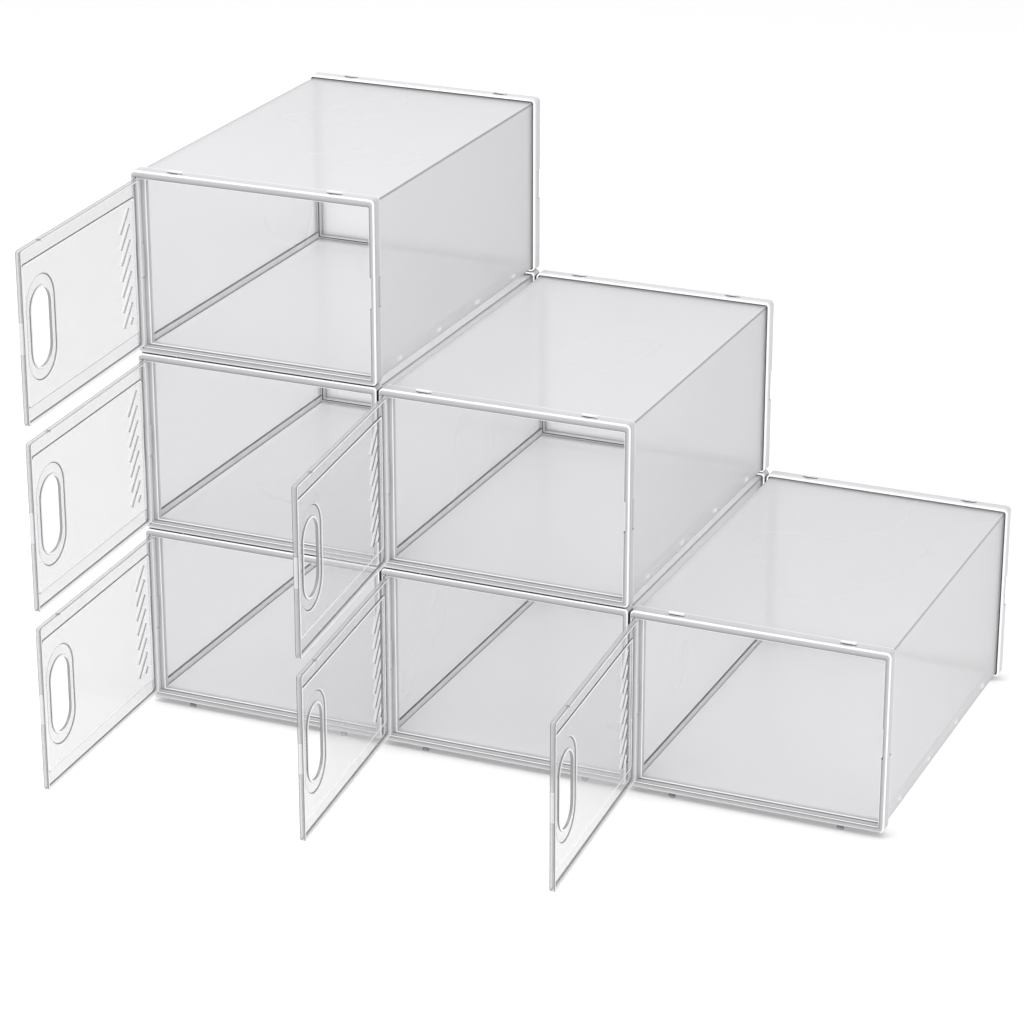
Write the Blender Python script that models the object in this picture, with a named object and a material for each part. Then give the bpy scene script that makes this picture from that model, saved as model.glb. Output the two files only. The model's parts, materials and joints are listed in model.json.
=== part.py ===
"""A stepped stack of six clear plastic shoe boxes with side-hinged doors.

Each box is a front frame and a rear frame with five thin panels held in their grooves, and a door that
turns on moulded pivots in the front frame. Pegs under each frame drop into sockets in the frame below,
and clips join boxes side by side. Metres, +Z up; the doors face -Y and the hinges are on the left.
"""

import math

import bmesh
import bpy
from mathutils import Matrix, Vector

# One box, over its frames
BOX_WIDTH = 0.232
BOX_HEIGHT = 0.166
BOX_DEPTH = 0.360

# The stack: boxes in each column, from the left, and the gaps between neighbouring frames
COLUMNS = (("left", ("low", "mid", "top")), ("centre", ("low", "mid")), ("right", ("low",)))
SIDE_GAP = 0.002
STACK_GAP = 0.001

# Gaps between pieces
SEAT_GAP = 0.0003
DOOR_GAP = 0.0006

# Frames
FRAME_DEPTH = 0.013
CORNER_RADIUS = 0.004
TOP_BAR = 0.0072
BOTTOM_BAR = 0.0055
HINGE_WALL = 0.0014
LATCH_JAMB = 0.0052
LIP = 0.0015
LIP_SETBACK = 0.0068
HINGE_LIP_REACH = 0.0100
REAR_BAR = 0.0070
REAR_LIP = 0.0025
REAR_LIP_DEPTH = 0.004

# Panels, and the grooves that hold them
PANEL = 0.0016
PANEL_INSET = 0.003
GROOVE_DEPTH = 0.003
REAR_GROOVE_SLACK = 0.001
TRAY_RIM = 0.007
NUB_COUNT = 4
NUB_LENGTH = 0.008
NUB_HEIGHT = 0.0024

# Stacking pegs, with the tab beside each socket
PEG_RADIUS = 0.0032
PEG_LENGTH = 0.005
PEG_INSET = 0.0395
PEG_SETBACK = 0.0050
SOCKET_CLEARANCE = 0.0004
SOCKET_RADIUS = 0.0048
SOCKET_WALL = 0.0005
TAB_WIDTH = 0.014
TAB_HEIGHT = 0.0018
TAB_THICKNESS = 0.0016
TAB_BEHIND_PEG = 0.0012

# Side clips, the hinge knuckle and the latch share the middle of the frame's height
MIDDLE_HEIGHT = 0.028
CLIP_RECESS = 0.0012
CLIP_SETBACK = 0.0074
LATCH_RECESS = 0.0014
LATCH_REACH = 0.0014

# Hinge
HINGE_X = 0.0048
BARREL_RADIUS = 0.0026
DOOR_FLUSH = 0.0002
PIVOT_RADIUS = 0.0013
PIVOT_LENGTH = 0.0015
PIVOT_CLEARANCE = 0.0003
DOOR_OPEN_DEG = {"left": 87.0, "centre": 84.0, "right": 86.0}

# Door
DOOR_PLATE = 0.0020
DOOR_RIM_DEPTH = 0.0050
DOOR_RIM_WALL = 0.0018
DOOR_CORNER = 0.003
FIELD_RAISE = 0.0008
FIELD_SIDE_INSET = 0.0055
FIELD_END_INSET = 0.0145
GRIP_FROM_EDGE = 0.036
GRIP_SIZE = (0.051, 0.092)
SLOT_SIZE = (0.034, 0.068)
DISH_DEPTH = 0.0013
VENT_COUNT = 7
VENT_LENGTH = 0.026
VENT_WIDTH = 0.0016
VENT_PITCH = 0.0142
VENT_SLANT_DEG = 48.0
VENT_FROM_HINGE = 0.0275
VENT_FROM_TOP = 0.031
SHORT_VENT_LENGTH = 0.007
NOTCH_WIDTH = 0.003
NOTCH_DEPTH = 0.0012

# Worked out from the sizes above
HINGE_Y = DOOR_FLUSH + BARREL_RADIUS
OPENING_HEIGHT = BOX_HEIGHT - TOP_BAR - BOTTOM_BAR
DOOR_HEIGHT = OPENING_HEIGHT - 2 * DOOR_GAP
DOOR_REACH = BOX_WIDTH - LATCH_JAMB - DOOR_GAP - HINGE_X
HINGE_EDGE = BARREL_RADIUS + DOOR_GAP
MIDDLE = BOX_HEIGHT / 2
GROOVE_OUT = PANEL_INSET - SEAT_GAP
GROOVE_IN = PANEL_INSET + PANEL + 2 * SEAT_GAP
TRAY_INSET = PANEL_INSET + PANEL + SEAT_GAP
REAR_Y = BOX_DEPTH - FRAME_DEPTH
REAR_PEG_SETBACK = GROOVE_DEPTH + SOCKET_WALL + SOCKET_RADIUS - SOCKET_CLEARANCE
PEG_PLACES = (PEG_INSET, BOX_WIDTH - PEG_INSET)
PAST = 0.002  # how far a cutter runs past the face that it opens


def mesh_object(name, bm):
    mesh = bpy.data.meshes.new(name)
    bm.to_mesh(mesh)
    bm.free()
    obj = bpy.data.objects.new(name, mesh)
    bpy.context.scene.collection.objects.link(obj)
    return obj


def block(low, high, radius=0.0, along=1, segments=3):
    """A box between two corners, its four edges along one axis rounded where a radius is given."""
    low, high = Vector(low), Vector(high)
    bm = bmesh.new()
    bmesh.ops.create_cube(bm, size=1.0)
    size = high - low
    bm.transform(Matrix.Translation((low + high) / 2) @ Matrix.Diagonal((*size, 1.0)))
    if radius:
        edges = [
            edge
            for edge in bm.edges
            if abs(edge.verts[0].co[along] - edge.verts[1].co[along]) > size[along] / 2
        ]
        bmesh.ops.bevel(bm, geom=edges, offset=radius, segments=segments, affect="EDGES", profile=0.5)
    return mesh_object("block", bm)


def cylinder(centre, radius, low, high, segments=12):
    """An upright cylinder between two heights."""
    bm = bmesh.new()
    place = Matrix.Translation((centre[0], centre[1], (low + high) / 2))
    bmesh.ops.create_cone(
        bm, cap_ends=True, segments=segments, radius1=radius, radius2=radius, depth=high - low, matrix=place
    )
    return mesh_object("cylinder", bm)


def half_round(centre, radius, low, high):
    """An upright half cylinder between two heights, flat at the back."""
    peg = cylinder(centre, radius, low, high)
    bm = bmesh.new()
    bm.from_mesh(peg.data)
    geom = bm.verts[:] + bm.edges[:] + bm.faces[:]
    bmesh.ops.bisect_plane(bm, geom=geom, plane_co=(*centre, low), plane_no=(0, 1, 0), clear_outer=True)
    bmesh.ops.holes_fill(bm, edges=[edge for edge in bm.edges if edge.is_boundary])
    bm.to_mesh(peg.data)
    bm.free()
    return peg


def stadium(centre, size, low, high, segments, turn=0.0):
    """A round-ended slot's shape in the door's plane, which is X and Z, between two depths along Y."""
    width, height = size
    shape = block(
        (-width / 2, low, -height / 2), (width / 2, high, height / 2), width / 2 * 0.98, 1, segments
    )
    shape.data.transform(Matrix.Translation((centre[0], 0.0, centre[1])) @ Matrix.Rotation(turn, 4, "Y"))
    return shape


def combined(name, added, removed=()):
    """One mesh: the first shape with the rest of added joined on, then every shape of removed cut away."""
    solid = added[0]
    for operation, shapes in (("UNION", added[1:]), ("DIFFERENCE", removed)):
        for shape in shapes:
            modifier = solid.modifiers.new(operation.lower(), "BOOLEAN")
            modifier.operation = operation
            modifier.solver = "EXACT"
            modifier.object = shape
    graph = bpy.context.evaluated_depsgraph_get()
    mesh = bpy.data.meshes.new_from_object(solid.evaluated_get(graph))
    mesh.name = name
    for shape in (*added, *removed):
        bpy.data.objects.remove(shape)
    return mesh


def groove_cutters(front, back, outer):
    """Four cutters that open a groove round a frame's face, from an outer inset in to GROOVE_IN."""
    wide, tall = BOX_WIDTH - outer, BOX_HEIGHT - outer
    return [
        block((outer, front, outer), (wide, back, GROOVE_IN)),
        block((outer, front, BOX_HEIGHT - GROOVE_IN), (wide, back, tall)),
        block((outer, front, outer), (GROOVE_IN, back, tall)),
        block((BOX_WIDTH - GROOVE_IN, front, outer), (wide, back, tall)),
    ]


def stacking_shapes(front, peg_setback):
    """Pegs and tabs to add to a frame whose front face is at front, and its sockets and pockets to cut."""
    added, removed = [], []
    peg_y = front + peg_setback
    tab_front = peg_y + TAB_BEHIND_PEG
    tab_back = tab_front + TAB_THICKNESS
    socket_floor = BOX_HEIGHT - (PEG_LENGTH - STACK_GAP) - SEAT_GAP
    for x in PEG_PLACES:
        added.append(half_round((x, peg_y), PEG_RADIUS, -PEG_LENGTH, BOTTOM_BAR / 3))
        socket = (x, peg_y + SOCKET_CLEARANCE)
        removed.append(half_round(socket, SOCKET_RADIUS, socket_floor, BOX_HEIGHT + PAST))
        half = TAB_WIDTH / 2
        tab_top = BOX_HEIGHT + TAB_HEIGHT
        added.append(block((x - half, tab_front, BOX_HEIGHT - PANEL / 2), (x + half, tab_back, tab_top)))
        half += 2 * SEAT_GAP
        pocket_top = TAB_HEIGHT - STACK_GAP + 2 * SEAT_GAP
        pocket_front, pocket_back = tab_front - 2 * SEAT_GAP, tab_back + 2 * SEAT_GAP
        removed.append(block((x - half, pocket_front, -PAST), (x + half, pocket_back, pocket_top)))
    return added, removed


def clip_recesses(front):
    """Cutters for the recess on each outer side, where a clip to the next box slides in from behind."""
    low, high = MIDDLE - MIDDLE_HEIGHT / 2, MIDDLE + MIDDLE_HEIGHT / 2
    y0, y1 = front + CLIP_SETBACK, front + FRAME_DEPTH + PAST
    return [
        block((-PAST, y0, low), (CLIP_RECESS, y1, high)),
        block((BOX_WIDTH - CLIP_RECESS, y0, low), (BOX_WIDTH + PAST, y1, high)),
    ]


def front_frame():
    """The doorway: bars and jambs, a lip that the door shuts against, the hinge knuckle and latch recess."""
    added, removed = stacking_shapes(0.0, PEG_SETBACK)
    ring = block((0, 0, 0), (BOX_WIDTH, FRAME_DEPTH, BOX_HEIGHT), CORNER_RADIUS)
    low, high = MIDDLE - MIDDLE_HEIGHT / 2, MIDDLE + MIDDLE_HEIGHT / 2
    knuckle = cylinder((HINGE_X, HINGE_Y), BARREL_RADIUS, low, high)
    web_half = BARREL_RADIUS * 0.7
    web = block((HINGE_X - web_half, HINGE_Y, low), (HINGE_X + web_half, LIP_SETBACK + LIP, high))
    doorway_top = BOX_HEIGHT - TOP_BAR
    latch_side = BOX_WIDTH - LATCH_JAMB
    # The doorway is cut before the knuckle is joined on, so the knuckle survives it.
    doorway = combined(
        "doorway",
        [ring],
        [
            block((HINGE_WALL, -PAST, BOTTOM_BAR), (latch_side, LIP_SETBACK, doorway_top)),
            block(
                (HINGE_LIP_REACH, -PAST, BOTTOM_BAR + LIP),
                (latch_side - LIP, FRAME_DEPTH + PAST, doorway_top - LIP),
            ),
        ],
    )
    doorway_object = bpy.data.objects.new("doorway", doorway)
    bpy.context.scene.collection.objects.link(doorway_object)
    removed += groove_cutters(FRAME_DEPTH - GROOVE_DEPTH, FRAME_DEPTH + PAST, GROOVE_OUT)
    removed += clip_recesses(0.0)
    removed.append(
        block(
            (latch_side - PAST, -PAST, low),
            (latch_side + LATCH_RECESS, DOOR_FLUSH + DOOR_RIM_DEPTH + DOOR_GAP, high),
        )
    )
    # A pivot snaps into its hole through a mouth narrower than itself.
    hole = PIVOT_RADIUS + PIVOT_CLEARANCE
    mouth = PIVOT_RADIUS * 0.8
    deep = PIVOT_LENGTH - DOOR_GAP + 2 * PIVOT_CLEARANCE
    for z0, z1 in ((BOTTOM_BAR - deep, BOTTOM_BAR + PAST), (doorway_top - PAST, doorway_top + deep)):
        removed.append(cylinder((HINGE_X, HINGE_Y), hole, z0, z1))
        removed.append(block((HINGE_X - mouth, -PAST, z0), (HINGE_X + mouth, HINGE_Y, z1)))
    return combined("front_frame", [doorway_object, knuckle, web, *added], removed)


def rear_frame():
    """The back ring, with the panels' groove in its front face and a lip that backs the back panel."""
    added, removed = stacking_shapes(REAR_Y, REAR_PEG_SETBACK)
    ring = block((0, REAR_Y, 0), (BOX_WIDTH, BOX_DEPTH, BOX_HEIGHT), CORNER_RADIUS)
    inner = REAR_BAR + REAR_LIP
    removed += [
        block(
            (REAR_BAR, REAR_Y - PAST, REAR_BAR),
            (BOX_WIDTH - REAR_BAR, BOX_DEPTH - REAR_LIP_DEPTH, BOX_HEIGHT - REAR_BAR),
        ),
        block(
            (inner, REAR_Y, inner),
            (BOX_WIDTH - inner, BOX_DEPTH + PAST, BOX_HEIGHT - inner),
            CORNER_RADIUS,
        ),
    ]
    removed += groove_cutters(REAR_Y - PAST, REAR_Y + GROOVE_DEPTH, GROOVE_OUT - REAR_GROOVE_SLACK)
    removed += clip_recesses(REAR_Y)
    return combined("rear_frame", [ring, *added], removed)


def panel_span():
    """Where the panels start and end along Y: just short of the floors of the two grooves."""
    inside = GROOVE_DEPTH - SEAT_GAP
    return FRAME_DEPTH - inside, REAR_Y + inside


def nub_places():
    """Middles of the snap nubs along a side, evenly spread between the frames."""
    step = (REAR_Y - FRAME_DEPTH) / NUB_COUNT
    return [FRAME_DEPTH + step * (i + 0.5) for i in range(NUB_COUNT)]


def nub_height():
    return PANEL_INSET + PANEL + TRAY_RIM / 2


def roof_panel():
    front, back = panel_span()
    top = BOX_HEIGHT - PANEL_INSET
    return combined("roof", [block((PANEL_INSET, front, top - PANEL), (BOX_WIDTH - PANEL_INSET, back, top))])


def side_panel(name, low_x):
    """A side wall between the floor line and the roof, with a window for each snap nub of the tray."""
    front, back = panel_span()
    top = BOX_HEIGHT - PANEL_INSET - PANEL - SEAT_GAP
    z = nub_height()
    half_length, half_height = NUB_LENGTH / 2 + SEAT_GAP, NUB_HEIGHT / 2 + SEAT_GAP
    windows = [
        block((low_x - PAST, y - half_length, z - half_height), (low_x + PANEL + PAST, y + half_length, z + half_height))
        for y in nub_places()
    ]
    return combined(name, [block((low_x, front, PANEL_INSET), (low_x + PANEL, back, top))], windows)


def base_tray():
    """The floor with a turned-up rim along each side, whose nubs snap into the side panels."""
    front, back = panel_span()
    low, high = PANEL_INSET, PANEL_INSET + PANEL
    left, right = TRAY_INSET, BOX_WIDTH - TRAY_INSET
    shapes = [block((left, front, low), (right, back, high))]
    rim_front, rim_back = FRAME_DEPTH + SEAT_GAP, REAR_Y - SEAT_GAP
    z = nub_height()
    for outer, inner in ((left, left + PANEL), (right, right - PANEL)):
        x0, x1 = min(outer, inner), max(outer, inner)
        shapes.append(block((x0, rim_front, low), (x1, rim_back, high + TRAY_RIM)))
        reach = math.copysign(PANEL, outer - inner)
        n0, n1 = sorted((outer - reach / 2, outer + reach))
        for y in nub_places():
            shapes.append(
                block((n0, y - NUB_LENGTH / 2, z - NUB_HEIGHT / 2), (n1, y + NUB_LENGTH / 2, z + NUB_HEIGHT / 2))
            )
    return combined("base", shapes)


def back_panel():
    inset = REAR_BAR + SEAT_GAP
    back = BOX_DEPTH - REAR_LIP_DEPTH - SEAT_GAP
    return combined("back", [block((inset, back - PANEL, inset), (BOX_WIDTH - inset, back, BOX_HEIGHT - inset))])


def door():
    """The door, shut, with the origin on its hinge axis at its lower edge.

    A thin plate has a rim turned in all round, a raised field, a dished grip with a finger slot, slanted
    vents, a tongue for the latch, and two barrels with pivots that leave room for the frame's knuckle.
    """
    front = -BARREL_RADIUS
    plate_back, rim_back = front + DOOR_PLATE, front + DOOR_RIM_DEPTH
    field_back = plate_back + FIELD_RAISE
    height = DOOR_HEIGHT
    body = combined(
        "door_body",
        [block((HINGE_EDGE, front, 0), (DOOR_REACH, rim_back, height), DOOR_CORNER)],
        [
            block(
                (HINGE_EDGE + DOOR_RIM_WALL, plate_back, DOOR_RIM_WALL),
                (DOOR_REACH - DOOR_RIM_WALL, rim_back + PAST, height - DOOR_RIM_WALL),
            )
        ],
    )
    body_object = bpy.data.objects.new("door_body", body)
    bpy.context.scene.collection.objects.link(body_object)
    field = block(
        (HINGE_EDGE + FIELD_SIDE_INSET, plate_back - DOOR_PLATE / 4, FIELD_END_INSET),
        (DOOR_REACH - FIELD_SIDE_INSET, field_back, height - FIELD_END_INSET),
        DOOR_CORNER,
    )
    sill = BOTTOM_BAR + DOOR_GAP
    gap_low = MIDDLE - MIDDLE_HEIGHT / 2 - sill
    gap_high = gap_low + MIDDLE_HEIGHT
    added = [body_object, field]
    for z0, z1 in ((0.0, gap_low - DOOR_GAP), (gap_high + DOOR_GAP, height)):
        added.append(cylinder((0, 0), BARREL_RADIUS, z0, z1))
        added.append(block((0, front, z0 + DOOR_CORNER), (HINGE_EDGE + DOOR_RIM_WALL / 2, plate_back, z1 - DOOR_CORNER)))
    added.append(cylinder((0, 0), PIVOT_RADIUS, -PIVOT_LENGTH, PIVOT_LENGTH))
    added.append(cylinder((0, 0), PIVOT_RADIUS, height - PIVOT_LENGTH, height + PIVOT_LENGTH))
    added.append(
        block(
            (DOOR_REACH - DOOR_RIM_WALL / 2, front + DOOR_PLATE / 2, gap_low + DOOR_GAP),
            (DOOR_REACH + LATCH_REACH, rim_back - DOOR_PLATE / 2, gap_high - DOOR_GAP),
        )
    )
    grip = (DOOR_REACH - GRIP_FROM_EDGE, height / 2)
    slant = math.radians(90 - VENT_SLANT_DEG)
    vent_size = (VENT_WIDTH, VENT_LENGTH)
    removed = [
        stadium(grip, GRIP_SIZE, front + DISH_DEPTH, field_back + PAST, 5),
        stadium(grip, SLOT_SIZE, front - PAST, field_back + PAST, 5),
    ]
    for i in range(VENT_COUNT):
        centre = (VENT_FROM_HINGE, height - VENT_FROM_TOP - i * VENT_PITCH)
        removed.append(stadium(centre, vent_size, front - PAST, field_back + PAST, 1, -slant))
    short = (VENT_LENGTH - SHORT_VENT_LENGTH) / 2
    centre = (
        VENT_FROM_HINGE - short * math.sin(slant),
        height - VENT_FROM_TOP - VENT_COUNT * VENT_PITCH + short * math.cos(slant),
    )
    removed.append(stadium(centre, (VENT_WIDTH, SHORT_VENT_LENGTH), front - PAST, field_back + PAST, 1, -slant))
    notch = grip[0]
    removed.append(
        block((notch, plate_back, height - NOTCH_DEPTH), (notch + NOTCH_WIDTH, rim_back + PAST, height + PAST))
    )
    return combined("door", added, removed)


def side_clip():
    """A flat key that fills the facing recesses of two boxes and the gap between them."""
    reach = SIDE_GAP / 2 + CLIP_RECESS - SEAT_GAP
    half = MIDDLE_HEIGHT / 2 - SEAT_GAP
    return combined(
        "clip",
        [block((-reach, CLIP_SETBACK + SEAT_GAP, MIDDLE - half), (reach, FRAME_DEPTH - SEAT_GAP, MIDDLE + half))],
    )


def clear_plastic(name, tint, roughness, alpha):
    """Clear polymer: smooth, lightly tinted, seen through by its alpha."""
    material = bpy.data.materials.new(name)
    material.use_nodes = True
    shader = material.node_tree.nodes["Principled BSDF"]
    shader.inputs["Base Color"].default_value = (*tint, 1.0)
    shader.inputs["Roughness"].default_value = roughness
    shader.inputs["Metallic"].default_value = 0.0
    shader.inputs["Alpha"].default_value = alpha
    return material


def place(name, mesh, collection, parent, location=(0, 0, 0), turn=0.0):
    obj = bpy.data.objects.new(name, mesh)
    collection.objects.link(obj)
    obj.parent = parent
    obj.location = location
    obj.rotation_euler = (0, 0, turn)
    return obj


def empty(name, collection, parent=None, location=(0, 0, 0)):
    obj = bpy.data.objects.new(name, None)
    collection.objects.link(obj)
    obj.parent = parent
    obj.location = location
    return obj


def centre_over_origin(root, parts):
    """Moves the whole stack so that its bounding box stands on the origin, centred over it."""
    bpy.context.view_layer.update()
    corners = [part.matrix_world @ Vector(corner) for part in parts for corner in part.bound_box]
    low = Vector([min(corner[i] for corner in corners) for i in range(3)])
    high = Vector([max(corner[i] for corner in corners) for i in range(3)])
    root.location = (-(low.x + high.x) / 2, -(low.y + high.y) / 2, -low.z)


for old in list(bpy.data.objects):
    bpy.data.objects.remove(old)

parts_collection = bpy.data.collections.new("shoe_box_stack")
bpy.context.scene.collection.children.link(parts_collection)

meshes = {
    "front_frame": front_frame(),
    "rear_frame": rear_frame(),
    "roof_panel": roof_panel(),
    "left_panel": side_panel("left_side", PANEL_INSET),
    "right_panel": side_panel("right_side", BOX_WIDTH - PANEL_INSET - PANEL),
    "base_tray": base_tray(),
    "back_panel": back_panel(),
}
door_mesh = door()
clip_mesh = side_clip()

for piece, mesh in meshes.items():
    is_frame = piece.endswith("frame")
    mesh.materials.clear()
    mesh.materials.append(
        clear_plastic(piece, (0.93, 0.94, 0.95), 0.12, 0.45)
        if is_frame
        else clear_plastic(piece, (0.86, 0.87, 0.88), 0.18, 0.3)
    )
door_mesh.materials.clear()
door_mesh.materials.append(clear_plastic("door", (0.92, 0.93, 0.94), 0.1, 0.3))
clip_mesh.materials.clear()
clip_mesh.materials.append(clear_plastic("clip", (0.9, 0.91, 0.92), 0.2, 0.6))

stack = empty("stack", parts_collection)
parts = []
for column, (side, rows) in enumerate(COLUMNS):
    for row, level in enumerate(rows):
        box_name = f"{side}_{level}"
        corner = (column * (BOX_WIDTH + SIDE_GAP), 0.0, PEG_LENGTH + row * (BOX_HEIGHT + STACK_GAP))
        box = empty(box_name, parts_collection, stack, corner)
        for piece, mesh in meshes.items():
            parts.append(place(f"{box_name}_{piece}", mesh, parts_collection, box))
        hinge = (HINGE_X, HINGE_Y, BOTTOM_BAR + DOOR_GAP)
        turn = -math.radians(DOOR_OPEN_DEG[side])
        parts.append(place(f"{box_name}_door", door_mesh, parts_collection, box, hinge, turn))
        # A box with a neighbour on its left is clipped to it at the front and at the back.
        if column:
            for end, y in (("front", 0.0), ("rear", REAR_Y)):
                name = f"{box_name}_{end}_clip"
                parts.append(place(name, clip_mesh, parts_collection, box, (-SIDE_GAP / 2, y, 0.0)))

centre_over_origin(stack, parts)
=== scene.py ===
import json
import math

import bpy
import numpy as np
from mathutils import Matrix, Vector


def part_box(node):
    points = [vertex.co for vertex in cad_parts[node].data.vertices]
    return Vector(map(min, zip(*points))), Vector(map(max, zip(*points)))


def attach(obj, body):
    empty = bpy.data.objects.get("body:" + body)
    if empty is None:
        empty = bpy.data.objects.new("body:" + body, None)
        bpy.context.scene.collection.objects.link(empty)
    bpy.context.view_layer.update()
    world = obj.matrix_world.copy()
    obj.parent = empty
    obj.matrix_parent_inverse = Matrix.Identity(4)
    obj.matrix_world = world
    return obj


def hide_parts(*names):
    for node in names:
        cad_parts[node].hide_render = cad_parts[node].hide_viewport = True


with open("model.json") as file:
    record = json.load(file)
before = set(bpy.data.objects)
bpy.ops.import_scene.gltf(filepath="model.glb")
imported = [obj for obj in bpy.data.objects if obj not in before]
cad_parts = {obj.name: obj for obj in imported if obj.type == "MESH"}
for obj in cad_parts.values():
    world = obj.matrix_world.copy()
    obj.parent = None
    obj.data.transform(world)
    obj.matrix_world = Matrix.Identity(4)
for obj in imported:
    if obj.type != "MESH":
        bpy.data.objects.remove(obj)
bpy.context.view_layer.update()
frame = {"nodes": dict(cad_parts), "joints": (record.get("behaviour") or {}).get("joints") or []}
scene = bpy.context.scene

# ---------------------------------------------------------------------------------------------
# Camera. A long lens on a stand in front of the doors and to the right, looking a little down.
lens = bpy.data.cameras.new("camera")
lens.lens = 124.36
lens.sensor_width = 36.0
lens.clip_end = 20.0
camera = bpy.data.objects.new("camera", lens)
camera.location = (1.11856, -2.64475, 1.36814)
camera.rotation_euler = (math.radians(68.144), 0.0, math.radians(23.320))
scene.collection.objects.link(camera)
scene.camera = camera

# ---------------------------------------------------------------------------------------------
# Studio. An even white surround, one large softbox overhead and a pale paper floor. Light passes
# through many sheets of plastic on its way, so transparent surfaces are followed a long way.
scene.view_settings.view_transform = "Standard"
scene.cycles.max_bounces = 6
scene.cycles.transparent_max_bounces = 64

surround = bpy.data.worlds.new("surround")
surround.use_nodes = True
background = surround.node_tree.nodes["Background"].inputs
background["Color"].default_value = (1.0, 1.0, 1.0, 1.0)
background["Strength"].default_value = 1.0
scene.world = surround

softbox_place, softbox_aim = Vector((-0.5, -0.4, 2.4)), Vector((0.0, 0.0, 0.1))
softbox = bpy.data.lights.new("softbox", "AREA")
softbox.size = 2.2
softbox.energy = 22.0
lamp = bpy.data.objects.new("softbox", softbox)
lamp.location = softbox_place
lamp.rotation_euler = (softbox_aim - softbox_place).to_track_quat("-Z", "Y").to_euler()
scene.collection.objects.link(lamp)


class Number:
    """A shader socket that does arithmetic: an operator adds its Math node and gives a Number."""

    def __init__(self, tree, socket):
        self.tree, self.socket = tree, socket

    def math(self, operation, other):
        settings = {"operation": operation}
        made = add_node(self.tree, "ShaderNodeMath", settings, {0: self, 1: other})
        return Number(self.tree, made.outputs[0])

    def __add__(self, other):
        return self.math("ADD", other)

    def __mul__(self, other):
        return self.math("MULTIPLY", other)

    __radd__, __rmul__ = __add__, __mul__


def add_node(tree, kind, settings, sockets):
    """One node: its settings first, then a value or a link for each named or numbered socket."""
    made = tree.nodes.new(kind)
    for name, value in settings.items():
        setattr(made, name, value)
    for name, value in sockets.items():
        source = getattr(value, "socket", value)
        if isinstance(source, bpy.types.NodeSocket):
            tree.links.new(source, made.inputs[name])
        else:
            made.inputs[name].default_value = source
    return made


def empty_material(name):
    """A material with no nodes, and its node tree."""
    material = bpy.data.materials.new(name)
    material.use_nodes = True
    material.node_tree.nodes.clear()
    return material, material.node_tree


def varied(amount, middle, spread):
    """A noise's amount, 0 to 1, turned into a value that strays by half the spread either way."""
    return amount * spread + (middle - spread / 2)


floor_grey, floor_spread, floor_reach = 0.93, 0.01, 6.0
paper, tree = empty_material("studio_floor")
grain = add_node(tree, "ShaderNodeTexNoise", {}, {"Scale": 3.0, "Detail": 2.0})
grey = varied(Number(tree, grain.outputs["Fac"]), floor_grey, floor_spread)
tint = add_node(tree, "ShaderNodeCombineColor", {}, {"Red": grey, "Green": grey, "Blue": grey})
matt = {"Base Color": tint.outputs[0], "Roughness": 0.9}
matt = add_node(tree, "ShaderNodeBsdfPrincipled", {}, matt)
add_node(tree, "ShaderNodeOutputMaterial", {}, {"Surface": matt.outputs[0]})
floor_mesh = bpy.data.meshes.new("studio_floor")
corners = np.array([(-1, -1, 0), (1, -1, 0), (1, 1, 0), (-1, 1, 0)]) * floor_reach
floor_mesh.from_pydata(corners, [], [(0, 1, 2, 3)])
floor_mesh.materials.append(paper)
floor = bpy.data.objects.new("studio_floor", floor_mesh)
scene.collection.objects.link(floor)

# ---------------------------------------------------------------------------------------------
# Front frames. Each is one moulded ring of clear plastic: a doorway with thick bars and jambs, a
# lip behind the door all round, a groove in the back for the panels, the fixed knuckle of the
# hinge, and pegs and tabs that lock it to the frames above and below.
mm = 0.001
box_width, box_height, frame_depth = 232.0, 166.0, 13.0
corner_radius, round_over, lead_in, sharp = 4.0, 0.45, 0.3, 0.04
# Insets from the box's left, right, lower and upper sides.
outer = np.array([0.0, 0.0, 0.0, 0.0])
doorway = np.array([1.4, 5.2, 5.5, 7.2])
lip_edge = np.array([10.0, 6.7, 7.0, 8.7])
lip_front = 6.8
groove_out, groove_in, groove_floor = 2.7, 5.2, 10.0
# The first is painted shadow, the shade of grooves, recesses, holes and thin lines where shade
# falls; thick and full are how little shows through.
painted_shadow, thick, full = 0.03, 0.9, 1.0


def round_rectangle(u0, u1, v0, v1, radius, steps=4):
    """Points round a rectangle, anticlockwise from the corner at (u1, v0). Each corner is a quarter
    turn about its own centre, centre + radius * (cos, sin). Each size is an array, one value for a
    loop, and radius may hold four for a loop, one for each corner in that order."""
    u0, u1, v0, v1 = (np.asarray(size, float)[:, None] for size in (u0, u1, v0, v1))
    radius = np.reshape(radius, (len(u0), -1))
    right, high = np.array([1, 1, 0, 0]), np.array([0, 1, 1, 0])
    centre_u = np.where(right, u1 - radius, u0 + radius)
    centre_v = np.where(high, v1 - radius, v0 + radius)
    turn = np.linspace(-np.pi / 2, 0, steps + 1) + np.arange(4)[:, None] * np.pi / 2
    u = centre_u[..., None] + radius[..., None] * np.cos(turn)
    v = centre_v[..., None] + radius[..., None] * np.sin(turn)
    return u.reshape(len(u), -1), v.reshape(len(v), -1)


def across(axis, u, v, depth):
    """Loops of points that lie across one axis: loop i is at depth[i] along it, and its u and v run
    along the other two."""
    depth = np.broadcast_to(depth[:, None], u.shape)
    order = {"x": (depth, v, u), "y": (u, depth, v), "z": (v, u, depth)}[axis]
    return np.stack(order, -1)


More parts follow.
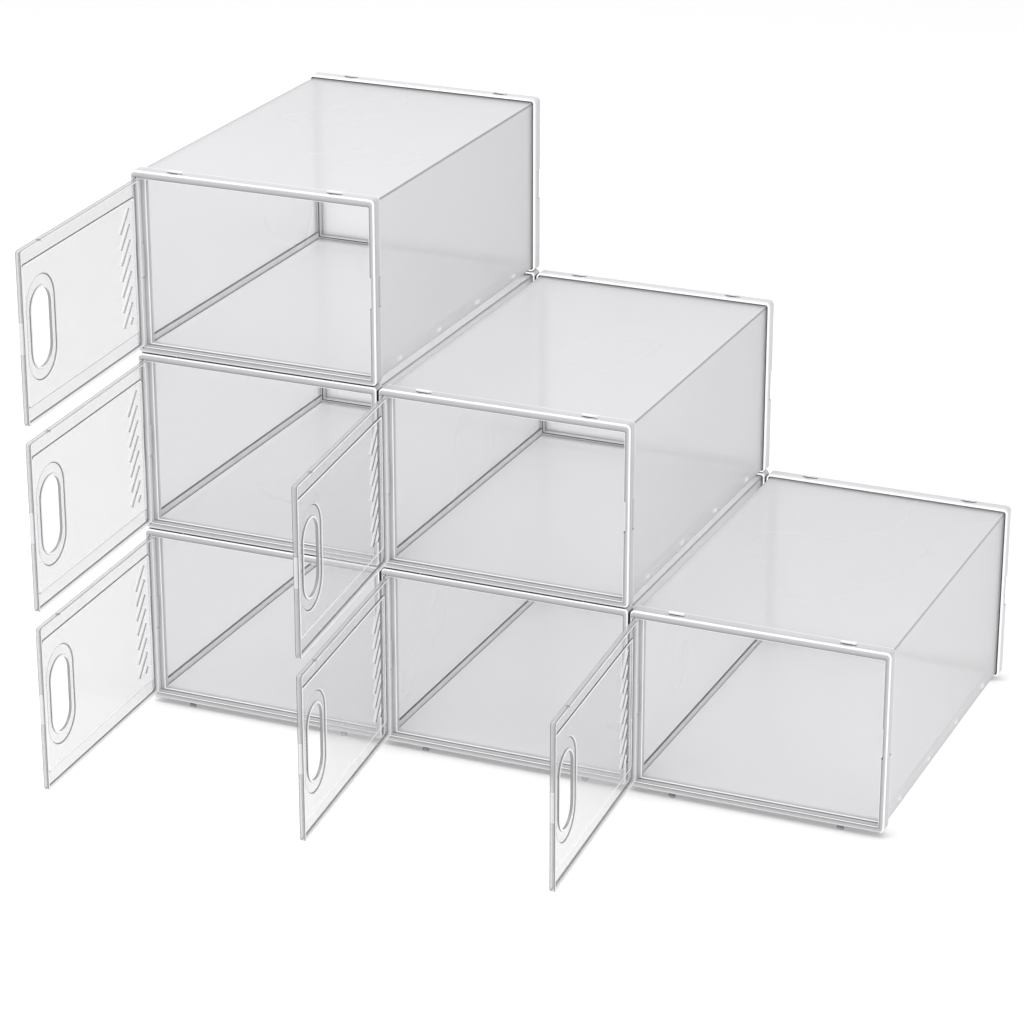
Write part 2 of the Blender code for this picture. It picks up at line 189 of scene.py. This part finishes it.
def skin(points, shade, solid, capped):
    """A mesh over closed loops of points, given in millimetres: point j of loop i is points[i, j].
    Quad (i, j) runs (i, j), (i, j+1), (i+1, j+1), (i+1, j), counted round the loop. A capped skin
    closes its first and last loops with a face each, and any other joins its last loop to its
    first. shade is painted light and shade, how light the plastic is made to look at each loop:
    painted highlights on edges and painted shade in gaps and grooves. solid is how little shows
    through."""
    loops, count = points.shape[:2]
    i, j = np.arange(loops - capped)[:, None], np.arange(count)[None, :]
    here, ahead, beside = i * count, (i + 1) % loops * count, (j + 1) % count
    quads = np.stack([here + j, here + beside, ahead + beside, ahead + j], -1)
    faces = quads.reshape(-1, 4).tolist()
    if capped:
        last = (loops - 1) * count
        faces += [list(range(count))[::-1], list(range(last, last + count))]
    mesh = bpy.data.meshes.new("skin")
    mesh.from_pydata(points.reshape(-1, 3) * mm, [], faces)
    at = np.empty(len(mesh.loops), np.int32)
    mesh.loops.foreach_get("vertex_index", at)
    for label, value in (("shade", shade), ("solid", solid)):
        layer = mesh.attributes.new(label, "FLOAT", "CORNER")
        value = np.reshape(value, (-1, 1)) if np.ndim(value) < 2 else value
        layer.data.foreach_set("value", np.broadcast_to(value, (loops, count)).ravel()[at])
    return mesh


def moulding(rows):
    """A ring swept round the box. Each row gives a loop: its insets from the four sides, its depth
    behind the frame's front, its corner radius, its shade, which paints highlights and shade on the
    ring, and its solid."""
    left, right, low, high = np.array([np.broadcast_to(row[0], 4) for row in rows]).T
    depth, radius, shade, solid = np.array([row[1:] for row in rows]).T
    x, z = round_rectangle(left, box_width - right, low, box_height - high, radius)
    return skin(across("y", x, z, depth), shade, solid, False)


def prism(axis, outline, near, far, shade, solid, edge=0.0):
    """A capped bar that runs from far to near along an axis, with its ends' edges taken off by
    edge. Its outline is (u0, u1, v0, v1, radius)."""
    u0, u1, v0, v1, radius = outline
    inset, depth = np.zeros(2), np.array([far, near])
    if edge:
        inset = np.array([edge, 0.0, 0.0, edge])
        depth = np.array([far, far - edge, near + edge, near])
    radius = np.maximum(np.asarray(radius) - inset[:, None], sharp)
    u, v = round_rectangle(u0 + inset, u1 - inset, v0 + inset, v1 - inset, radius)
    return skin(across(axis, u, v, depth), shade, solid, True)


def assembled(body, added=(), cut=()):
    """One mesh: body with every mesh of added joined on, then every mesh of cut taken out. The
    walls of a cut keep the shade of what cut them."""
    made = [bpy.data.objects.new("shape", mesh) for mesh in (body, *added, *cut)]
    for shape in made:
        scene.collection.objects.link(shape)
    for k, shape in enumerate(made[1:]):
        step = made[0].modifiers.new("shape", "BOOLEAN")
        step.operation = "UNION" if k < len(added) else "DIFFERENCE"
        step.solver = "EXACT"
        step.object = shape
    whole = made[0].evaluated_get(bpy.context.evaluated_depsgraph_get())
    mesh = bpy.data.meshes.new_from_object(whole)
    for shape in made:
        bpy.data.objects.remove(shape)
    return mesh


face = doorway - lead_in - round_over
# Each row: insets from the sides, depth, corner radius, shade, solid. The shade paints highlights
# on the rounded edges, a face that grows darker towards the doorway, and shadow lines at the
# doorway, before the lip and in the groove.
rows = [
    (outer + 0.5, frame_depth, 3.5, 0.70, thick),
    (outer, frame_depth - 0.5, corner_radius, 0.85, thick),
    (outer, frame_depth - 2.0, corner_radius, 0.60, thick),
    (outer, 2.4, corner_radius, 0.56, thick),
    (outer, 1.7, corner_radius, 0.30, thick),
    (outer, 1.2, corner_radius, 0.95, full),
    (outer, 0.5, corner_radius, 1.0, full),
    (outer + 0.14, 0.14, 3.86, 1.0, full),
    (outer + round_over, 0.0, 3.5, 1.0, full),
    (outer + round_over + 0.14 * face, 0.0, 3.0, 0.95, full),
    (outer + round_over + 0.20 * face, 0.0, 2.7, 0.60, thick),
    (outer + round_over + 0.55 * face, 0.0, 1.8, 0.50, thick),
    (outer + round_over + 0.84 * face, 0.0, 1.2, 0.34, thick),
    (outer + round_over + 0.92 * face, 0.0, 1.2, 0.25, thick),
    (doorway - lead_in, 0.0, 1.0, 0.9, full),
    (doorway - 0.09, 0.09, 0.9, 1.0, full),
    (doorway, lead_in, 0.8, 0.95, full),
    (doorway, 0.9, 0.8, 0.22, 0.95),
    (doorway, 1.8, 0.8, 0.45, thick),
    (doorway, lip_front - 0.8, 0.8, 0.55, thick),
    (doorway, lip_front - 0.2, 0.8, 0.20, thick),
    (doorway + 0.3, lip_front, 0.8, 0.20, thick),
    (lip_edge - 0.7, lip_front, 0.8, 0.60, thick),
    (lip_edge - 0.5, lip_front, 0.8, 0.95, thick),
    (lip_edge - 0.12, lip_front + 0.12, 0.8, 1.0, full),
    (lip_edge, lip_front + 0.5, 0.8, 1.0, full),
    (lip_edge, lip_front + 1.2, 0.8, 0.45, thick),
    (lip_edge, frame_depth - 0.8, 0.8, 0.55, thick),
    (lip_edge - 0.4, frame_depth, 0.8, 0.9, full),
    (groove_in, frame_depth, 0.6, 0.35, thick),
    (groove_in, groove_floor, 0.6, 0.10, thick),
    (groove_out, groove_floor, 1.2, 0.10, thick),
    (groove_out, frame_depth, 1.2, 0.35, thick),
]
front_ring = moulding(rows)

peg_radius, peg_length, peg_root, peg_inset, peg_setback = 3.2, 5.0, 1.8, 39.5, 5.0
socket_radius, socket_gap, socket_depth = 4.8, 0.4, 4.3
tab_half, tab_height, tab_root, tab_behind, tab_thick, tab_round = 7.0, 1.8, 0.8, 1.2, 1.6, 0.4
# Sizes of the lines painted in shadow before the tabs; hair is a tiny size used throughout.
line_width, line_depth, line_over, hair = 1.5, 0.6, 0.8, 0.1
knuckle_half = 14.0
middle_low, middle_high = box_height / 2 - knuckle_half, box_height / 2 + knuckle_half
clip_recess, clip_setback = 1.2, 7.4
past, nearly = 2.0, 0.98


def round_bar(u, v, radius):
    """The outline of a round bar about (u, v). Its corners stop a little short of meeting."""
    return (u - radius, u + radius, v - radius, v + radius, radius * nearly)


def half_round(flat, v, radius):
    """The outline of half of a round bar, flat on its far side."""
    corners = np.array([1 - nearly, 1 - nearly, nearly, nearly]) * radius
    return (flat - radius, flat, v - radius, v + radius, corners)


def stacking_shapes(setback):
    """Pegs and tabs to join onto a frame, and sockets and the lines before its tabs to cut from it,
    for a frame whose pegs stand that far behind its front. The tabs are painted bright, as a
    highlight, and the lines before them are cut in painted shadow."""
    added, cut = [], []
    front, above = setback + tab_behind, box_height + past
    for x in (peg_inset, box_width - peg_inset):
        peg = half_round(setback, x, peg_radius)
        added.append(prism("z", peg, -peg_length, peg_root, shade=0.45, solid=0.8, edge=0.3))
        hole = half_round(setback + socket_gap, x, socket_radius)
        cut.append(prism("z", hole, box_height - socket_depth, above, shade=0.8, solid=thick))
        tab = (front, front + tab_thick, x - tab_half, x + tab_half, tab_round)
        low, high = box_height - tab_root, box_height + tab_height
        added.append(prism("z", tab, low, high, shade=1.0, solid=full, edge=0.3))
        painted_line = (front - line_width, front - hair, x - tab_half, x + tab_half + line_over, hair)
        cut.append(prism("z", painted_line, box_height - line_depth, above, shade=painted_shadow, solid=full))
    return added, cut


def clip_recesses(front):
    """The recess in each outer side of a frame for the clip that joins it to the next box."""
    sides = ((-past, clip_recess), (box_width - clip_recess, box_width + past))
    outline = (middle_low, middle_high, front + clip_setback, front + frame_depth + past, sharp)
    return [prism("x", outline, x0, x1, shade=0.45, solid=thick) for x0, x1 in sides]


barrel_radius, hinge_x, hinge_y = 2.6, 4.8, 2.8
web_half, web_back = 1.8, 7.5
pivot_radius, pivot_length, pivot_play = 1.3, 1.5, 0.3
latch_deep, latch_back = 1.8, 5.8
added, cut = stacking_shapes(peg_setback)
knuckle = round_bar(hinge_y, hinge_x, barrel_radius)
added.append(prism("z", knuckle, middle_low, middle_high, shade=0.6, solid=0.95, edge=0.3))
web = (hinge_y, web_back, hinge_x - web_half, hinge_x + web_half, sharp)
added.append(prism("z", web, middle_low, middle_high, shade=0.6, solid=0.95, edge=0.2))
cut += clip_recesses(0.0)
# The latch recess is painted in shadow.
latch_x = box_width - doorway[1]
latch = (middle_low, middle_high, -past, latch_back, sharp)
cut.append(prism("x", latch, latch_x - past, latch_x + latch_deep, shade=painted_shadow, solid=full))
pivot_hole = round_bar(hinge_y, hinge_x, pivot_radius + pivot_play)
pivot_slot = (-past, hinge_y, hinge_x - pivot_radius, hinge_x + pivot_radius, sharp)
door_low, door_high = doorway[2], box_height - doorway[3]
low_end = (door_low - pivot_length, door_low + past)
high_end = (door_high - past, door_high + pivot_length)
# The pivot holes and their slots are painted in shadow.
for z0, z1 in (low_end, high_end):
    cut.append(prism("z", pivot_hole, z0, z1, shade=painted_shadow, solid=full))
    cut.append(prism("z", pivot_slot, z0, z1, shade=painted_shadow, solid=full))
front_ring = assembled(front_ring, added, cut)

refraction, cloud_spread, gloss_spread = 1.49, 0.016, 0.04
red, green = 0.978, 0.977


def clear_plastic(name, grey, through, roughness):
    """Clear plastic with a faint haze. Its lightness comes from the shade stored on the piece,
    which is painted highlights and painted shade, and how little shows through it from its own
    solid.
    The share through of the light that falls on it passes on unchanged."""
    material, tree = empty_material(name)
    place = add_node(tree, "ShaderNodeTexCoord", {}, {}).outputs["Object"]
    cloud = {"Vector": place, "Scale": 5.0, "Detail": 1.0}
    cloud = Number(tree, add_node(tree, "ShaderNodeTexNoise", {}, cloud).outputs["Fac"])
    shade = add_node(tree, "ShaderNodeAttribute", {"attribute_name": "shade"}, {})
    solid = add_node(tree, "ShaderNodeAttribute", {"attribute_name": "solid"}, {})
    light = Number(tree, shade.outputs["Fac"]) * varied(cloud, grey, cloud_spread)
    colour = {"Red": light * red, "Green": light * green, "Blue": light}
    body = {
        "Base Color": add_node(tree, "ShaderNodeCombineColor", {}, colour).outputs[0],
        "Roughness": varied(cloud, roughness, gloss_spread),
        "IOR": refraction,
        "Alpha": solid.outputs["Fac"],
    }
    body = add_node(tree, "ShaderNodeBsdfPrincipled", {}, body)
    path = add_node(tree, "ShaderNodeLightPath", {}, {})
    shadow, diffuse = (Number(tree, path.outputs[f"Is {ray} Ray"]) for ray in ("Shadow", "Diffuse"))
    open_air = add_node(tree, "ShaderNodeBsdfTransparent", {}, {})
    mixed = {0: (shadow + diffuse) * through, 1: body.outputs[0], 2: open_air.outputs[0]}
    mixed = add_node(tree, "ShaderNodeMixShader", {}, mixed)
    add_node(tree, "ShaderNodeOutputMaterial", {}, {"Surface": mixed.outputs[0]})
    return material


rail_plastic = clear_plastic("rail_plastic", 1.0, 0.4, 0.22)
ending = "_front_frame"
boxes = sorted(name.removesuffix(ending) for name in frame["nodes"] if name.endswith(ending))
# The first two are painted shadow: the share of shade left on a frame's faces across a gap and
# underneath, and on its left and lower front edges.
gap_shadow_share, edge_shadow_share, crease = 0.06, 0.3, math.radians(40)


def neighbours(box):
    """Whether another box stands against the left, right, lower and upper side of this one."""
    columns, levels = ("left", "centre", "right", ""), ("low", "mid", "top", "")
    column, level = (words.index(word) for words, word in zip((columns, levels), box.split("_")))
    beside = ((column - 1, level), (column + 1, level), (column, level - 1), (column, level + 1))
    return [f"{columns[there]}_{levels[up]}" in boxes for there, up in beside]


def paint_gap_shadows(mesh, box):
    """Paints shadow on the outer faces of a frame that look across a narrow gap at another box, and
    on its underside, by multiplying their shade, and paints a fainter shadow outline on its front
    edges on the left and below."""
    at, place = np.empty(len(mesh.loops), np.int32), np.empty(len(mesh.vertices) * 3, np.float32)
    shade = np.empty(len(mesh.loops), np.float32)
    mesh.loops.foreach_get("vertex_index", at)
    mesh.vertices.foreach_get("co", place)
    mesh.attributes["shade"].data.foreach_get("value", shade)
    x, y, z = place.reshape(-1, 3).T / mm
    left, right, _, high = neighbours(box)
    gap_shadow_mask = (abs(z) < hair) | ((z > box_height - hair) & high)
    gap_shadow_mask |= ((x < hair) & left) | ((x > box_width - hair) & right)
    # The front edges on the left and below get a fainter painted shadow outline.
    edge = (x < 0.5) | (abs(z) < 0.5)
    shade[(gap_shadow_mask & (y > lead_in))[at]] *= gap_shadow_share
    shade[(edge & (y < lead_in))[at]] *= edge_shadow_share
    mesh.attributes["shade"].data.foreach_set("value", shade)


def fit(mesh, box, piece, material, slot, body="root", hang=None):
    """Puts a copy of a mesh in its place in one box, in its vertices, and hands it to its body. The
    box's own corner is its front frame's lowest corner, above the pegs."""
    name = f"{box}_{piece}"
    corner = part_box(f"{box}_front_frame")[0] + Vector((0.0, 0.0, peg_length * mm))
    copy = mesh.copy()
    copy.name = f"clear_{name}"
    # A frame gets painted shadow where it looks across a gap at another box.
    if slot == "frame":
        paint_gap_shadows(copy, box)
    if hang is not None:
        copy.transform(hang)
    copy.transform(Matrix.Translation(corner))
    copy.materials.clear()
    copy.materials.append(material)
    copy.polygons.foreach_set("use_smooth", np.ones(len(copy.polygons), bool))
    copy.set_sharp_from_angle(angle=crease)
    obj = bpy.data.objects.new(f"clear_{name}", copy)
    scene.collection.objects.link(obj)
    weigh = obj.modifiers.new("flat_faces", "WEIGHTED_NORMAL")
    weigh.keep_sharp = True
    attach(obj, body)
    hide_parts(name)


for box in boxes:
    fit(front_ring, box, "front_frame", rail_plastic, "frame")

# ---------------------------------------------------------------------------------------------
# Rear frames. The same width and height as the front ones: a groove in front takes the panels,
# loosely at its outer wall, and a lip behind stops the back panel.
rear_front, rear_back = 347.0, 360.0
rear_bar, rear_lip, rear_lip_front = 7.0, 9.5, 356.0
rear_peg_setback = 7.9
# Each row: insets from the sides, depth, corner radius, shade, solid. The shade paints highlights
# on the rounded front edges and shadow in the groove and along the inner edges of the bars.
rows = [
    (outer + 0.5, rear_back, 3.5, 0.8, thick),
    (outer, rear_back - 0.5, corner_radius, 0.6, thick),
    (outer, rear_front + 5.0, corner_radius, 0.60, thick),
    (outer, rear_front + 1.6, corner_radius, 0.80, thick),
    (outer, rear_front + 0.8, corner_radius, 1.0, full),
    (outer + 0.14, rear_front + 0.14, 3.86, 1.0, full),
    (outer + 0.5, rear_front, 3.5, 1.0, full),
    (outer + 1.5, rear_front, 2.4, 1.0, full),
    (outer + 1.7, rear_front + 0.2, 2.2, painted_shadow, full),
    (outer + 1.7, rear_front + 3.0, 2.2, painted_shadow, full),
    (groove_in, rear_front + 3.0, 0.6, painted_shadow, full),
    (groove_in, rear_front, 0.6, 0.3, thick),
    (rear_bar - 1.0, rear_front, 0.6, 0.7, thick),
    (rear_bar - 0.8, rear_front, 0.6, 0.08, 0.95),
    (rear_bar, rear_front, 0.6, 0.08, 0.95),
    (rear_bar, rear_front + 1.0, 0.6, 0.10, 0.95),
    (rear_bar, rear_front + 1.4, 0.6, 0.6, thick),
    (rear_bar, rear_lip_front, 0.6, 0.35, thick),
    (rear_lip, rear_lip_front, 4.0, 0.8, thick),
    (rear_lip, rear_back - 0.4, 4.0, 0.9, thick),
    (rear_lip - 0.4, rear_back, 4.4, 0.9, thick),
]
added, cut = stacking_shapes(rear_front + rear_peg_setback)
rear_ring = assembled(moulding(rows), added, cut + clip_recesses(rear_front))
for box in boxes:
    fit(rear_ring, box, "rear_frame", rail_plastic, "frame")

# ---------------------------------------------------------------------------------------------
# Roof, side and back panels. Thin clear sheet, cut square and slid into the frames' grooves. The
# sides have a small window for each nub of the floor tray.
sheet, inset, gap, seat = 1.6, 3.0, 0.3, 2.7
haze, broken_edge, rim_width = 0.66, 0.15, 0.6
panel_front, panel_back = frame_depth - seat, rear_front + seat
top = box_height - inset
sheet_plastic = clear_plastic("sheet_plastic", 0.72, 1.0, 0.28)


def plate(axis, outline, near, far, face, painted_falloff=0.0):
    """A sheet with its edges just broken. Its faces are hazy, with face for their shade, which is
    the painted light and shade of that panel, and its cut edges nearly solid and painted darker as
    lines. The painted shade falls steadily from the box's front to its back, by the share given."""
    u0, u1, v0, v1 = outline
    inset = np.array([rim_width, broken_edge, 0.0, 0.0, broken_edge, rim_width])
    depth = np.array([far, far, far - broken_edge, near + broken_edge, near, near])
    u, v = round_rectangle(u0 + inset, u1 - inset, v0 + inset, v1 - inset, np.full(6, 0.2))
    points = across(axis, u, v, depth)
    shade = np.array([face, 0.5, 0.4, 0.4, 0.5, face])
    solid = np.array([haze, 0.8, 0.95, 0.95, 0.8, haze])
    # Painted shade: lighter at the front of the box, darker towards its back.
    way_back = (points[..., 1] - panel_front) / (panel_back - panel_front)
    return skin(points, shade[:, None] * (1.0 + painted_falloff * (0.5 - way_back)), solid, True)


tray_rim, nub_half, nub_thick, window_half = 7.0, 4.0, 2.4, 1.5
nub_height = inset + sheet + tray_rim / 2
nub_places = frame_depth + (rear_front - frame_depth) / 4 * (np.arange(4) + 0.5)


def windows(x):
    """Cutters for the nubs' windows in the side panel whose left face is at x."""
    low, high, reach = nub_height - window_half, nub_height + window_half, nub_half + gap
    return [
        prism("x", (low, high, y - reach, y + reach, 0.3), x - past, x + sheet + past, 1.0, full)
        for y in nub_places
    ]


# All four panels are one plastic. Each is given its own face shade, painted light and shade for how
# light falls on the roof, the left and right sides and the back, and the roof and the right side
# are painted darker towards the back.
roof_sides = (panel_front, panel_back, inset, box_width - inset)
roof = plate("z", roof_sides, top - sheet, top, face=0.81, painted_falloff=0.07)
side = (inset, top - sheet - gap, panel_front, panel_back)
left = plate("x", side, inset, inset + sheet, face=1.08)
left = assembled(left, cut=windows(inset))
right_x = box_width - inset
right = plate("x", side, right_x - sheet, right_x, face=0.85, painted_falloff=0.12)
right = assembled(right, cut=windows(right_x - sheet))
back_inset, back_face = rear_bar + gap, rear_lip_front - gap
back_sides = (back_inset, box_width - back_inset, back_inset, box_height - back_inset)
back = plate("y", back_sides, back_face - sheet, back_face, face=1.07)
panels = {"roof_panel": roof, "left_panel": left, "right_panel": right, "back_panel": back}
for box in boxes:
    for piece, panel in panels.items():
        fit(panel, box, piece, sheet_plastic, "panel")

# ---------------------------------------------------------------------------------------------
# Floor trays. Clear sheet turned up along both sides, with nubs that snap into the side panels.
# Each upturned rim has a thin bar painted dark along its foot, painted shade in the crease, and
# one along its top edge, painted dark as an edge line.
tray_plastic = clear_plastic("tray_plastic", 0.72, 0.92, 0.28)
tray_left, tray_right = inset + sheet + gap, box_width - inset - sheet - gap
floor_top = inset + sheet
rim_top = floor_top + tray_rim
rim_line, nub_reach = 0.8, sheet * 1.5
tray_sides = (panel_front, panel_back, tray_left, tray_right)
# The tray's face shade is painted light for the floor of the box.
tray = plate("z", tray_sides, inset, floor_top, face=0.86)
shapes = []
for x0, out in ((tray_left, -1.0), (tray_right - sheet, 1.0)):
    rim = (frame_depth + gap, rear_front - gap, x0, x0 + sheet, 0.3)
    shapes.append(prism("z", rim, inset + hair, rim_top, shade=0.85, solid=0.6, edge=0.3))
    # Thin bars painted dark: shade in the crease at the rim's foot, and an edge line along its top.
    painted_line = (frame_depth + 2 * gap, rear_front - 2 * gap, x0 - hair, x0 + sheet + hair, hair)
    for z in (floor_top, rim_top - rim_line + hair):
        shapes.append(prism("z", painted_line, z, z + rim_line, shade=0.15, solid=0.95))
    middle = x0 + sheet / 2
    n0, n1 = sorted((middle, middle + out * nub_reach))
    low, high = nub_height - nub_thick / 2, nub_height + nub_thick / 2
    for y in nub_places:
        nub = (low, high, y - nub_half, y + nub_half, 0.4)
        shapes.append(prism("x", nub, n0, n1, shade=1.0, solid=thick, edge=0.2))
tray = assembled(tray, shapes)
for box in boxes:
    fit(tray, box, "base_tray", tray_plastic, "tray")

# ---------------------------------------------------------------------------------------------
# Doors. One clear moulding each: a thin plate with a rim turned in all round, a raised field, a
# dished grip with a finger slot, slanted vents near the hinge, a tongue for the latch, and two
# barrels with pivots that turn in the front frame. Worked out shut, about the hinge axis.
door_gap, free_edge = 0.6, 221.4
door_height = box_height - doorway[2] - doorway[3] - 2 * door_gap
door_front, plate_back, field_back, rim_back = -2.6, -0.6, 0.2, 2.4
hinge_edge, rim_wall, field_side, field_end = 3.2, 1.8, 5.5, 14.5
clear = 0.3
door_plastic = clear_plastic("door_plastic", 0.92, 1.0, 0.15)
# Each row: inset from the sides, inset from the ends, depth, corner radius, shade, solid. The
# shade paints bright and dark outlines round the raised field, the rim and the outer edge.
rows = np.array([
    (field_side + 2.9, field_end + 1.9, field_back, 2.0, 0.67, clear),
    (field_side + 2.5, field_end + 1.5, field_back, 2.2, 1.0, 0.9),
    (field_side + 0.25, field_end + 0.25, field_back, 3.0, 1.0, 0.95),
    (field_side, field_end, field_back - 0.25, 3.2, 0.10, 0.95),
    (field_side, field_end, plate_back, 3.2, 0.08, 0.95),
    (field_side - 1.2, field_end - 0.7, plate_back, 3.6, 0.12, 0.9),
    (field_side - 1.35, field_end - 0.9, plate_back, 3.8, 0.60, clear),
    (rim_wall + 1.35, rim_wall + 0.9, plate_back, 2.0, 0.60, clear),
    (rim_wall + 1.2, rim_wall + 0.7, plate_back, 2.0, 0.15, 0.9),
    (rim_wall, rim_wall, plate_back, 1.4, 0.20, 0.8),
    (rim_wall, rim_wall, rim_back - 0.4, 1.4, 0.75, 0.6),
    (rim_wall - 0.4, rim_wall - 0.4, rim_back, 1.8, 1.0, 0.95),
    (0.4, 0.4, rim_back, 2.6, 0.95, 0.9),
    (0.0, 0.0, rim_back - 0.4, 3.0, 0.10, 0.95),
    (0.0, 0.0, rim_back - 1.2, 3.0, 0.50, 0.6),
    (0.0, 0.0, door_front + 0.9, 3.0, 0.55, 0.6),
    (0.0, 0.0, door_front + 0.5, 3.0, 0.10, 0.95),
    (0.5, 0.5, door_front, 2.5, 0.15, 0.95),
    (1.6, 1.6, door_front, 2.0, 0.64, clear),
])
from_side, from_end, depth, radius, shade, solid = rows.T
x, z = round_rectangle(
    hinge_edge + from_side, free_edge - from_side, from_end, door_height - from_end, radius
)
leaf = skin(across("y", x, z, depth), shade, solid, True)

grip_inset, dish_skin = 36.0, 1.3
dish_size, collar_size, slot_size = (51.0, 92.0), (38.0, 72.0), (34.0, 68.0)
grip, dish_floor = (free_edge - grip_inset, door_height / 2), door_front + dish_skin


def stadium(centre, size):
    """A round-ended outline about a centre."""
    u, v = size[0] / 2, size[1] / 2
    radius = min(u, v) * nearly
    return (centre[0] - u, centre[0] + u, centre[1] - v, centre[1] + v, radius)


def funnel(outline, rows):
    """A capped shape whose outline changes as it goes through the door: each row is its inset,
    depth, shade and solid."""
    u0, u1, v0, v1, radius = outline
    inset, depth, shade, solid = np.array(rows).T
    u, v = round_rectangle(u0 + inset, u1 - inset, v0 + inset, v1 - inset, radius - inset, 10)
    return skin(across("y", u, v, depth), shade, solid, True)


# Each row: inset, depth, shade, solid. The shade paints a bright edge and a dark outline round the
# grip's dish, its collar and its slot.
dish_rows = [
    (-1.2, field_back + past, 0.9, 0.9),
    (-0.8, field_back + 0.1, 1.0, 0.95),
    (0.0, field_back - 0.3, 0.9, 0.9),
    (0.4, dish_floor + 0.3, 0.15, 0.9),
    (1.2, dish_floor, 0.20, 0.9),
    (1.5, dish_floor, 0.62, clear),
]
collar_rows = [
    (1.0, field_back - 0.2, 1.0, 0.95),
    (0.35, field_back - 0.25, 1.0, 0.9),
    (0.0, field_back - 0.6, 0.18, 0.9),
    (0.0, door_front + 0.6, 0.25, 0.8),
]
slot_rows = [
    (0.0, field_back + past, 0.3, 0.9),
    (0.0, dish_floor, 0.3, 0.9),
    (0.0, door_front - past, 0.2, 0.9),
]
dish = funnel(stadium(grip, dish_size), dish_rows)
collar = funnel(stadium(grip, collar_size), collar_rows)
slot = funnel(stadium(grip, slot_size), slot_rows)

vent_count, vent_pitch, vent_slant = 8, 14.2, math.radians(42.0)
vent_width, vent_length, last_vent_length = 1.6, 26.0, 7.0
vent_across, vent_down = 27.5, 31.0
vent_turn = Matrix.Rotation(-vent_slant, 4, "Y")
# The shade paints each vent's edge dark where it meets the field, and its wall light.
vent_rows = [
    (0.0, field_back + past, 0.10, 0.9),
    (0.0, field_back - 0.5, 0.10, 0.9),
    (0.0, field_back - 0.7, 0.80, 0.4),
    (0.0, door_front + 0.5, 0.90, 0.4),
    (0.0, door_front - past, 0.95, 0.8),
]
vents = []
for k in range(vent_count):
    length = vent_length if k < vent_count - 1 else last_vent_length
    slip = (vent_length - length) / 2
    x = vent_across - slip * math.sin(vent_slant)
    z = door_height - vent_down - k * vent_pitch + slip * math.cos(vent_slant)
    vent = funnel(stadium((0.0, 0.0), (vent_width, length)), vent_rows)
    vent.transform(Matrix.Translation(Vector((x, 0.0, z)) * mm) @ vent_turn)
    vents.append(vent)
notch_width, notch_depth = 3.0, 1.2
notch = (grip[0], grip[0] + notch_width, door_height - notch_depth, door_height + past, hair)
notch = prism("y", notch, plate_back, rim_back + past, shade=0.3, solid=thick)

sill = doorway[2] + door_gap
gap_low, gap_high = middle_low - sill, middle_high - sill
arm_reach, arm_trim = 0.9, 3.0
tongue_root, tongue_tip, tongue_setback = 0.9, 1.4, 1.0
added = []
for z0, z1 in ((0.0, gap_low - door_gap), (gap_high + door_gap, door_height)):
    barrel = round_bar(0.0, 0.0, barrel_radius)
    added.append(prism("z", barrel, z0, z1, shade=0.62, solid=thick, edge=0.3))
    arm = (0.0, hinge_edge + arm_reach, z0 + arm_trim, z1 - arm_trim, hair)
    added.append(prism("y", arm, door_front, plate_back, shade=0.8, solid=0.6, edge=0.1))
for z in (0.0, door_height):
    pivot = round_bar(0.0, 0.0, pivot_radius)
    ends = (z - pivot_length, z + pivot_length)
    added.append(prism("z", pivot, *ends, shade=0.8, solid=thick, edge=0.2))
low, high = gap_low + door_gap, gap_high - door_gap
tongue = (free_edge - tongue_root, free_edge + tongue_tip, low, high, 0.4)
ends = (door_front + tongue_setback, rim_back - tongue_setback)
tongue = prism("y", tongue, *ends, shade=0.8, solid=0.8, edge=0.2)
leaf = assembled(leaf, [*added, tongue], [dish])
leaf = assembled(leaf, [collar], [slot, *vents, notch])

open_angle = {joint["child"]: -joint["range_deg"][0] for joint in frame["joints"]}
for box in boxes:
    swing = Matrix.Rotation(-math.radians(open_angle[f"{box}_door"]), 4, "Z")
    hinge = Matrix.Translation(Vector((hinge_x, hinge_y, sill)) * mm)
    fit(leaf, box, "door", door_plastic, "door", f"{box}_door", hinge @ swing)

# ---------------------------------------------------------------------------------------------
# Side clips. Flat keys of the same plastic that fill the facing recesses of two frames and the
# gap between them, at the front and at the back.
half_apart = 1.0
clip_half = half_apart + clip_recess - gap
for box in boxes:
    for end, y0 in (("front", 0.0), ("rear", rear_front)):
        if f"{box}_{end}_clip" in frame["nodes"]:
            low, high = middle_low + gap, middle_high - gap
            outline = (low, high, y0 + clip_setback + gap, y0 + frame_depth - gap, 0.5)
            ends = (-half_apart - clip_half, clip_half - half_apart)
            key = prism("x", outline, *ends, shade=0.7, solid=thick, edge=0.3)
            fit(key, box, f"{end}_clip", rail_plastic, "clip")
